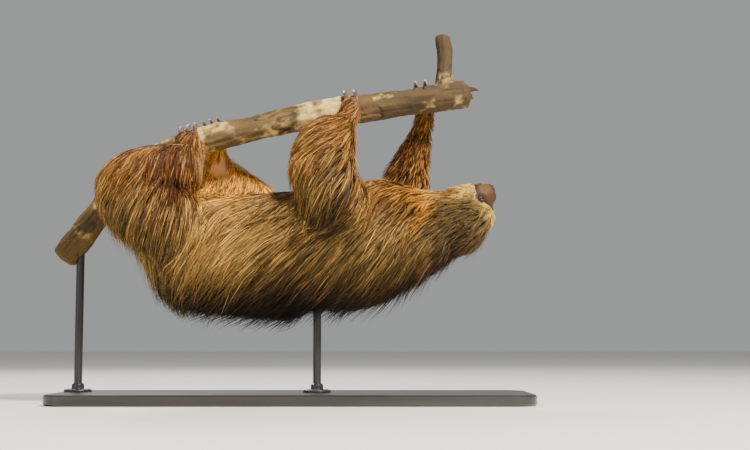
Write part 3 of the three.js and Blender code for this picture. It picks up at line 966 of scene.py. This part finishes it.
# Lengths in metres. The sizes of waves and sagging are given for a coat as deep as COAT_SCALE.
COAT_SCALE, LONG_HAIR = 0.024, 0.1
STRAYS, STRAY_DRIFT, STRAY_DROP, DRIFT = 0.08, 0.011, 0.018, 0.0028
WAVE, LOCK_WAVE = 0.0009, 0.0035  # sideways, of one tuft and of a whole lock
DARK_TUFTS, DARK_TONE, PALE_TUFTS = 0.22, 0.36, 0.2


def lock_habits(starts):
    """How high each lock stands, how tightly it gathers towards its tip, and how light it is."""
    rise = 0.95 + 0.08 * noise(starts, 0.055, 21) + RNG.uniform(-0.07, 0.07, len(starts))
    gather = RNG.uniform(0.55, 0.92, len(starts))
    spread = 1 - 0.72 * on_the_head(starts)
    tone = 1.0 + (0.2 * noise(starts, 0.03, 22) + RNG.uniform(-0.55, 0.55, len(starts))) * spread
    return rise, gather, tone


def wander(share, stray, loose):
    """How far each tuft drifts from its place in the lock, and its own small wave, sideways along it."""
    one = (len(stray), 1)
    drift = RNG.normal(0, 1, one) * np.where(stray, STRAY_DRIFT, DRIFT) * share ** 2 * loose
    wave = WAVE * np.sin(share * RNG.uniform(3, 8, one) + RNG.uniform(0, 6.3, one)) * share
    return drift, wave


def lock_waves(share, coat, guide, guides):
    """The wave that each lock makes as a whole, for the tufts that follow it."""
    turns, start = RNG.uniform(2.5, 5.5, (guides, 1))[guide], RNG.uniform(0, 6.3, (guides, 1))[guide]
    return LOCK_WAVE * np.sin(share * turns + start) * share * (coat / COAT_SCALE)


def hang(place, n, share, stray, coat):
    """Lets the hair under the body sag, and stray hairs drop."""
    under = ramp(-n[:, :, 2], 0.2, 0.9)
    sag = (0.004 + 0.009 * RNG.random((len(place), 1))) * share ** 2
    place[:, :, 2] -= sag * under * (coat / COAT_SCALE)
    place[:, :, 2] -= np.where(stray, STRAY_DROP, 0.0) * share ** 2 * (coat / COAT_SCALE)


def tuft_colours(marking, roots, lock_tone, own_rise, edge):
    """The markings varied by lock and tuft, with painted shade on low tufts and at a lock's edges, some
    tufts much darker and some bleached to straw.
    """
    count = len(roots)
    # Lower tufts and those at a lock's edges are darker: painted shade between the locks.
    tone = lock_tone * RNG.normal(1, 0.22, count).clip(0.5, 1.6) * (0.72 + 0.4 * own_rise)
    tone = np.where(RNG.random(count) < DARK_TUFTS, tone * DARK_TONE, tone) * (1.2 - 0.6 * edge)
    colour = marking * tone[:, None]
    pale = (RNG.random(count) < PALE_TUFTS) * RNG.uniform(0.2, 0.7, count)
    pale = pale * ramp(colour.sum(1), 0.1, 0.3) * (1 - 0.8 * on_the_head(roots))
    return blend(colour, STRAW * 1.2, pale)


def grow_coat(surface, traits):
    """Every tuft's line, the coat's normals along it, and its width, colour and skin point."""
    starts = spaced_guides(surface, traits)
    path, normal, depth = trace_guides(surface, traits, starts, tree_of(surface.verts))
    roots, corner = scatter(surface, traits, TUFTS)
    guide = nearest(tree_of(path[:, 0]), roots + RNG.normal(0, 0.002, roots.shape))
    count = len(roots)
    lock_rise, lock_gather, lock_tone = lock_habits(path[:, 0])
    reach = RNG.uniform(0.45, 1.0, count) ** 0.7
    share = np.linspace(0, 1, RINGS + 1)[None, :] ** 0.9
    t = share * reach[:, None]
    line, coat = along(path[guide], t), along(depth[guide], t)
    n = unit(along(normal[guide], t))
    tangent = np.gradient(line, axis=1)
    tangent = unit(tangent - n * np.sum(tangent * n, 2, keepdims=True))
    across = np.cross(tangent, n)
    offset = roots - path[guide, 0]
    ahead, aside, above = (np.sum(offset * axis[:, 0], 1) for axis in (tangent, across, n))
    gathered = lock_gather[guide][:, None] * t ** 1.3
    stray = (RNG.random(count) < STRAYS)[:, None]
    loose = (traits["length"][corner] / LONG_HAIR).clip(0.1, 1)[:, None]
    drift, wave = wander(share, stray, loose)
    sideways = aside[:, None] * (1 - gathered) + drift + wave
    sideways = sideways + lock_waves(share, coat, guide, len(starts))
    own_rise = RNG.uniform(0, 1, count)
    edge = np.clip(np.abs(aside) / (0.6 * traits["lock"][corner]), 0, 1) ** 2
    rise = lock_rise[guide] * (0.66 + 0.42 * own_rise) * (1.06 - 0.26 * edge)
    rise = rise * np.where(stray[:, 0], 1.15, 1)
    sunk = 0.001 - 0.0008 * on_the_head(roots)
    height = coat * rise[:, None] * share ** 0.7 + (above - sunk)[:, None] * (1 - share) ** 2
    place = line + tangent * ahead[:, None, None] + across * sideways[..., None] + n * height[..., None]
    hang(place, n, share, stray, coat)
    colour = tuft_colours(traits["colour"][corner], roots, lock_tone[guide], own_rise, edge)
    width = traits["width"][corner] * RNG.uniform(0.7, 1.3, count)
    return place, n, width, colour, corner


def on_the_head(points):
    """1 on the head, and 0 on the rest of the body."""
    return behind_mask(points)[1]


WIDTHS = np.array([0.7, 1.0, 0.9, 0.62])  # of a tuft at its rings, as shares of its width
# The dark tone at a tuft's root is painted shade deep in the coat.
TONES_WITH_ROOT_SHADE = np.array([0.45, 0.80, 0.95, 1.04, 1.12])  # of its marking, from the root to the tip


def tuft_template():
    """The triangles of one closed three-sided tuft, and each corner's place on its patch of the map."""
    tris, places = [], []
    for ring in range(RINGS):
        low, high = ring / RINGS, (ring + 1) / RINGS
        for side in range(3):
            left, right = side / 3, (side + 1) / 3
            a, b = ring * 3 + side, ring * 3 + (side + 1) % 3
            if ring < RINGS - 1:
                tris += [(a, b, b + 3), (a, b + 3, a + 3)]
                places.append(((left, low), (right, low), (right, high)))
                places.append(((left, low), (right, high), (left, high)))
            else:
                tris.append((a, b, RINGS * 3))
                places.append(((left, low), (right, low), ((side + 0.5) / 3, high)))
    tris.append((0, 2, 1))
    places.append(((0, 0), (0.3, 0), (0.15, 0.1)))
    return np.array(tris), np.array(places, float)


# Each part of the skin is unrolled round its own long axis into a rectangle: left, bottom, width, height.
CHARTS = {
    "trunk_rump": (0.00, 0.00, 0.34, 0.40), "trunk_belly": (0.34, 0.00, 0.34, 0.40),
    "trunk_chest": (0.68, 0.00, 0.32, 0.40), "neck": (0.00, 0.40, 0.25, 0.20),
    "head": (0.25, 0.40, 0.27, 0.20), "thigh_left": (0.52, 0.40, 0.26, 0.20),
    "thigh_right": (0.78, 0.40, 0.22, 0.20), "upper_arm_left": (0.00, 0.60, 0.22, 0.20),
    "upper_arm_right": (0.22, 0.60, 0.20, 0.20), "forearm_left": (0.42, 0.60, 0.20, 0.20),
    "forearm_right": (0.62, 0.60, 0.18, 0.20), "shank_left": (0.80, 0.60, 0.20, 0.20),
    "shank_right": (0.00, 0.80, 0.17, 0.20), "hand_left": (0.17, 0.80, 0.12, 0.20),
    "hand_right": (0.29, 0.80, 0.12, 0.20), "foot_left": (0.41, 0.80, 0.12, 0.20),
    "foot_right": (0.53, 0.80, 0.12, 0.20), "jaw": (0.65, 0.80, 0.15, 0.20),
    "ear_left": (0.80, 0.80, 0.07, 0.10), "ear_right": (0.87, 0.80, 0.07, 0.10),
    "muzzle": (0.80, 0.90, 0.10, 0.10), "nose": (0.90, 0.90, 0.10, 0.10),
}
PATCH = 0.003  # the size of one tuft's patch on the map
CHART_MARGIN = 0.004


def unwrap(points, owner):
    """Each point's place on the map of the unrolled skin."""
    place = np.zeros((len(points), 2))
    for i, name in enumerate(FLESH):
        chosen = np.flatnonzero(owner == i)
        if not len(chosen):
            continue
        left, bottom, width, height = CHARTS[name]
        away = points[chosen] - points[chosen].mean(0)
        _, _, axes = np.linalg.svd(away, full_matrices=False)
        length = away @ axes[0]
        share = (length - length.min()) / max(np.ptp(length), 1e-9)
        turn = np.arctan2(away @ axes[2], away @ axes[1]) / (2 * pi) + 0.5
        taken = 2 * CHART_MARGIN + PATCH
        place[chosen, 0] = left + CHART_MARGIN + share * (width - taken)
        place[chosen, 1] = bottom + CHART_MARGIN + turn * (height - taken)
    return place


SHADED_BACK = (0.170, 0.262)  # heights from which down the hair is darkened, as in the photo's shade


def tuft_points(place, normal, width):
    """The corners of every tuft: three round each ring, and one at the tip."""
    tangent = unit(np.gradient(place, axis=1))
    across = unit(np.cross(tangent, normal))
    raised = np.cross(across, tangent)
    twist = RNG.uniform(-0.7, 0.7, len(place))[:, None, None]
    side = (across * np.cos(twist) + raised * np.sin(twist))[:, :RINGS]
    upward = (raised * np.cos(twist) - across * np.sin(twist))[:, :RINGS]
    half = (width[:, None] / 2 * WIDTHS[None, :])[..., None]
    rings = place[:, :RINGS]
    hoop = np.stack([
        rings + side * half - upward * half * 0.3,
        rings + upward * half * 0.7,
        rings - side * half - upward * half * 0.3,
    ], 2).reshape(len(place), RINGS * 3, 3)
    return np.concatenate([hoop, place[:, RINGS:]], 1)


def for_corners(values):
    """What each ring and the tip carry, along the last axis, repeated for their corners."""
    return np.concatenate([np.repeat(values[..., :RINGS], 3, axis=-1), values[..., RINGS:]], -1)


def build_coat(surface, traits):
    """The tufts, dealt at random into pieces of a size that exports well."""
    place, normal, width, colour, corner = grow_coat(surface, traits)
    count = len(place)
    points = tuft_points(place, normal, width)
    shaded = blend(0.4, 1.0, ramp(place[:, :, 2].ravel(), *SHADED_BACK)).reshape(count, RINGS + 1)
    tints = colour[:, None, :] * (for_corners(TONES_WITH_ROOT_SHADE)[None, :] * for_corners(shaded))[..., None]
    tris, places = tuft_template()
    charted = unwrap(surface.verts[corner], traits["owner"][corner])
    material = grained_material("sloth_coat", (260,), (0.86, 1.12), (0.2, 0.0004),
                                roughness=0.62, specular_ior_level=0.28)
    order = RNG.permutation(count)
    for number, start in enumerate(range(0, count, TUFTS_EACH), 1):
        own = order[start:start + TUFTS_EACH]
        first = np.arange(len(own)) * points.shape[1]
        faces = (tris[None] + first[:, None, None]).reshape(-1, 3)
        piece = mesh_object(f"coat_{number}", points[own].reshape(-1, 3), faces)
        paint(piece.data, tints[own].reshape(-1, 3))
        layer = piece.data.uv_layers.new(name="OFBake")
        corners = charted[own][:, None, None, :] + places[None] * PATCH
        layer.data.foreach_set("uv", corners.astype(np.float32).ravel())
        dress(piece, "coat", material)


# ---- eyes and claws
IRIS, IRIS_MIDDLE, PUPIL = srgb(20, 12, 9), srgb(30, 16, 9), srgb(8, 6, 6)
IRIS_EDGE, PUPIL_EDGE = (0.6, 0.75), (0.93, 0.95)  # cosines of the angle from where the eye looks
CORNEA_START, CORNEA_SPAN, CORNEA_RISE = 0.8, 0.2, 0.05  # two such cosines, and a height in radii


def bmesh_object(name, bm):
    mesh = bpy.data.meshes.new(name)
    bm.to_mesh(mesh)
    bm.free()
    return link_object(name, mesh)


def eyeball(name, gaze):
    """A ball about the origin, which bulges a little where it looks."""
    bm = bmesh.new()
    bmesh.ops.create_uvsphere(bm, u_segments=48, v_segments=32, radius=EYE_RADIUS)
    for v in bm.verts:
        ahead = v.co.normalized().dot(Vector(gaze))
        v.co *= 1 + CORNEA_RISE * max(0.0, (ahead - CORNEA_START) / CORNEA_SPAN)
    return bmesh_object(name, bm)


def build_eyes():
    material = grained_material("wet_eye", (2500,), (0.7, 1.3),
                                roughness=0.06, coat_weight=0.6, coat_roughness=0.03)
    for name, way in (("left", 1), ("right", -1)):
        gaze = gaze_of(way)
        eye = eyeball(f"eyeball_{name}", gaze)
        points = np.array([v.co for v in eye.data.vertices])
        ahead = unit(points) @ gaze
        iris = blend(IRIS, IRIS_MIDDLE, ramp(ahead, *IRIS_EDGE))
        eye.data.transform(Matrix.Translation(Vector(eye_centre(way))))
        paint(eye.data, blend(iris, PUPIL, ramp(ahead, *PUPIL_EDGE)))
        eye.data.polygons.foreach_set("use_smooth", np.ones(len(eye.data.polygons), bool))
        dress(eye, "eye", material, f"eye_{name}")


CLAW_VOXEL = 1.0 * MM
HORN_ROOT, HORN_TIP = srgb(78, 60, 44), srgb(142, 120, 88)


def build_claws():
    """Each claw is its CAD solid made round, streaked along its length and worn pale at the tip."""
    material = grained_material("horn", (700,), (0.8, 1.15), (0.3, 0.0003), roughness=0.46)
    for name in sorted(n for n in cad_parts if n.startswith("claw_")):
        verts, tris = arrays(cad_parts[name])
        source = mesh_object(f"horn_{name}", *voxel_shell(verts, tris, CLAW_VOXEL))
        surface = Surface(*arrays(source))
        bpy.data.objects.remove(source)
        surface.verts = surface.smooth(surface.verts, 5) + surface.normals() * 0.25 * MM
        horn = mesh_object(f"horn_{name}", surface.verts, surface.tris)
        low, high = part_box(name)
        way = 1 if "left" in name else -1
        share = ramp(surface.verts[:, 1] * way, *sorted((low.y * way, high.y * way)))
        streak = noise(surface.verts * [6, 1, 1], 0.006, 5)[:, None] * 0.12
        paint(horn.data, blend(HORN_ROOT, HORN_TIP, share) * (1 + streak))
        dress(horn, "claw", material, name)


# ---- perch and stand
# The middle lines of the branch and of its side shoot, in millimetres.
BRANCH_LINE = [
    (-402, 26, 250), (-372, 25, 288), (-330, 22, 345), (-284, 16, 400), (-236, 8, 429), (-162, 0, 452),
    (-67, -3, 474), (48, -2, 499), (143, 2, 514), (225, 4, 526), (298, 4, 536), (330, 4, 540),
]
SHOOT_LINE = [(262, 6, 545), (259, 8, 558), (262, 9, 600), (258, 8, 660)]


SAMPLES = 40  # on each straight piece of the two lines


def unrolled(points):
    """Each point of the perch as its way along the wood and its two offsets across it, all in metres."""
    middles, steps, ways = [], [], []
    for line in (BRANCH_LINE, SHOOT_LINE):
        corners = np.array(line, float) * MM
        for a, b in zip(corners, corners[1:]):
            share = np.linspace(0, 1, SAMPLES)[:, None]
            middles.append(a + (b - a) * share)
            ways.append(np.broadcast_to(unit(b - a), (SAMPLES, 3)))
            steps.append(np.full(SAMPLES, np.linalg.norm(b - a)) / SAMPLES)
    middles, ways = np.concatenate(middles), np.concatenate(ways)
    travelled = np.cumsum(np.concatenate(steps))
    at = nearest(tree_of(middles), points)
    side = unit(np.array([0, 1, 0]) - ways[at] * ways[at][:, 1:2])
    up = np.cross(ways[at], side)
    away = points - middles[at]
    return np.stack([travelled[at], np.sum(away * side, 1), np.sum(away * up, 1)], 1)


BARK_VOXEL = 2.2 * MM
BARK_DARK, BARK_PALE, CRACK = srgb(56, 44, 25), srgb(116, 91, 50), srgb(58, 44, 32)
LOW_END, HIGH_END = srgb(98, 70, 30), srgb(46, 33, 18)
LICHEN_DARK, LICHEN_PALE = srgb(206, 172, 98), srgb(242, 212, 138)


def lichen_on(wood, x):
    """Where lichen covers the bark, with ragged edges: most of all in two places, as in the photo."""
    favoured = 0.75 * groove(x + 0.165, 0.035) + 0.95 * groove(x - 0.04, 0.05)
    favoured = favoured - 0.06 * ramp(x, 0.10, 0.14)
    ragged = noise(wood, 0.024, 12) + 0.6 * noise(wood, 0.008, 13) + 0.35 * noise(wood, 0.0035, 16)
    return ramp(0.7 * ragged + favoured, 0.2, 1.0)


def bark_colours(wood, x, furrow, crack, lichen):
    """Brown, tawny at the low end and darker at the high end, with dark furrows and pale lichen."""
    base = blend(BARK_DARK, BARK_PALE, 0.5 + 0.5 * noise(wood * [0.25, 1, 1], 0.012, 11))
    base = blend(base, LOW_END, 0.7 * (1 - ramp(x, -0.30, -0.22)))
    base = blend(base, HIGH_END, 0.65 * ramp(x, 0.10, 0.2))
    pale = blend(LICHEN_DARK, LICHEN_PALE, 0.5 + 0.5 * noise(wood, 0.006, 18))
    tint = blend(base, pale, lichen * 0.8)
    dark = np.clip(crack * 0.85 + ramp(-furrow, 0.4, 1.1) * 0.55, 0, 1)
    return blend(tint, CRACK, dark * (1 - 0.5 * lichen))


def build_bark():
    """The perch with bark: furrows along the wood, cracks, knots, and crusts of pale lichen."""
    verts, tris = arrays(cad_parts["perch"])
    surface = Surface(*voxel_shell(verts, tris, BARK_VOXEL))
    surface.verts = surface.smooth(surface.verts, 6)
    normals = surface.normals()
    wood, x = unrolled(surface.verts), surface.verts[:, 0]
    furrow = noise(wood * [0.16, 1, 1], 0.006, 6) + 0.5 * noise(wood * [0.2, 1, 1], 0.003, 7)
    lumps = noise(wood, 0.028, 8) + 0.5 * noise(wood, 0.011, 9)
    crack = ramp(1 - np.abs(noise(wood * [0.3, 1, 1], 0.011, 10)), 0.86, 0.97)
    crack = crack * ramp(noise(wood, 0.05, 15), -0.4, 0.3)
    lichen = lichen_on(wood, x)
    crust = lichen * (0.5 + 0.5 * noise(wood, 0.004, 17))
    height = 0.8 * furrow + 1.5 * lumps - 1.5 * crack * (1 - 0.6 * lichen) + 0.9 * crust
    surface.verts = surface.verts + normals * (height * MM)[:, None]
    bark = mesh_object("bark", surface.verts, surface.tris)
    paint(bark.data, bark_colours(wood, x, furrow, crack, lichen))
    material = grained_material("bark", (520,), (0.72, 1.22), (0.8, 0.0012), roughness=0.9)
    dress(bark, "bark", material, "perch")


def lathe(name, profile, centre, segments=48):
    """A turned piece from radius and height pairs, closed at both ends."""
    bm = bmesh.new()
    rings = []
    for radius, height in profile:
        turns = (2 * pi * i / segments for i in range(segments))
        around = [(centre[0] + radius * cos(turn), centre[1] + radius * sin(turn)) for turn in turns]
        rings.append([bm.verts.new((x, y, height)) for x, y in around])
    for low, high in zip(rings, rings[1:]):
        for i in range(segments):
            j = (i + 1) % segments
            bm.faces.new((low[i], low[j], high[j], high[i]))
    bm.faces.new(rings[0][::-1])
    bm.faces.new(rings[-1])
    return bmesh_object(name, bm)


FLANGE = ((0.024, 0), (0.024, 0.003), (0.0225, 0.0045))  # radius, and height from the rod's foot
COLLAR = ((0.004, 0.0052), (0.0035, 0.013), (0.0015, 0.0145), (0, 0.015))  # and here past the rod's
SCREW = ((0.0026, 0.003), (0.0026, 0.0046), (0.0018, 0.0052))
SCREWS, SCREW_CIRCLE, SCREW_SEGMENTS = 3, 0.0185, 20
ROD_CHAMFER, EDGE_BEVEL = 0.001, 0.0006
FOOT_GAP = 0.0003  # between the board and a rod's flange
STEEL, LACQUER = (0.018, 0.018, 0.02), (0.022, 0.02, 0.019)


def add_rod(name, foot, material):
    """One of the stand's rods, turned, with a flange and collar, and the middle that it stands on."""
    low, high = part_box(name)
    centre = ((low.x + high.x) / 2, (low.y + high.y) / 2)
    radius = (high.x - low.x) / 2
    profile = [(wide, foot + up) for wide, up in FLANGE]
    profile += [(radius + wide, foot + up) for wide, up in COLLAR]
    profile += [(radius, high.z - ROD_CHAMFER), (radius - ROD_CHAMFER, high.z)]
    rod = lathe(f"turned_{name}", profile, centre)
    for polygon in rod.data.polygons:
        polygon.use_smooth = len(polygon.vertices) == 4
    bevel = rod.modifiers.new("edges", "BEVEL")
    bevel.width, bevel.segments = EDGE_BEVEL, 2
    bevel.limit_method, bevel.angle_limit = "ANGLE", radians(35)
    rod.modifiers.new("normals", "WEIGHTED_NORMAL").keep_sharp = True
    dress(rod, "stand_rod", material, name)
    return centre


def add_screws(name, foot, centre, material):
    """The screws through a rod's flange."""
    profile = [(radius, foot + up) for radius, up in SCREW]
    for i in range(SCREWS):
        turn = 2 * pi * (i + 0.25) / SCREWS
        place = (centre[0] + SCREW_CIRCLE * cos(turn), centre[1] + SCREW_CIRCLE * sin(turn))
        screw = lathe(f"screw_{name}_{i + 1}", profile, place, SCREW_SEGMENTS)
        dress(screw, "stand_rod", material)


def build_stand():
    """The rods with their screws, and the lacquer of the board, which is the CAD's own node."""
    steel = grained_material("black_painted_steel", (1400,), (0.8, 1.25), (0.25, 0.0002), STEEL,
                             roughness=0.36, coat_weight=0.15)
    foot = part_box("stand_base")[1].z + FOOT_GAP
    for name in ("stand_rod_body", "stand_rod_perch"):
        centre = add_rod(name, foot, steel)
        add_screws(name, foot, centre, steel)
    wood = grained_material("black_lacquered_wood", (60, 8.0, (0.06, 1, 1)), (0.6, 1.6), (0.15, 0.0006),
                            LACQUER, roughness=0.32, coat_weight=0.3, coat_roughness=0.2)
    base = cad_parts["stand_base"]
    base.data.materials.clear()
    base.data.materials.append(wood)


# ---- the whole model
add_camera()
add_studio()
skin = build_skin()
traits = skin_traits(skin)
dress_skin(skin, traits)
build_coat(skin, traits)
build_eyes()
build_claws()
build_bark()
build_stand()
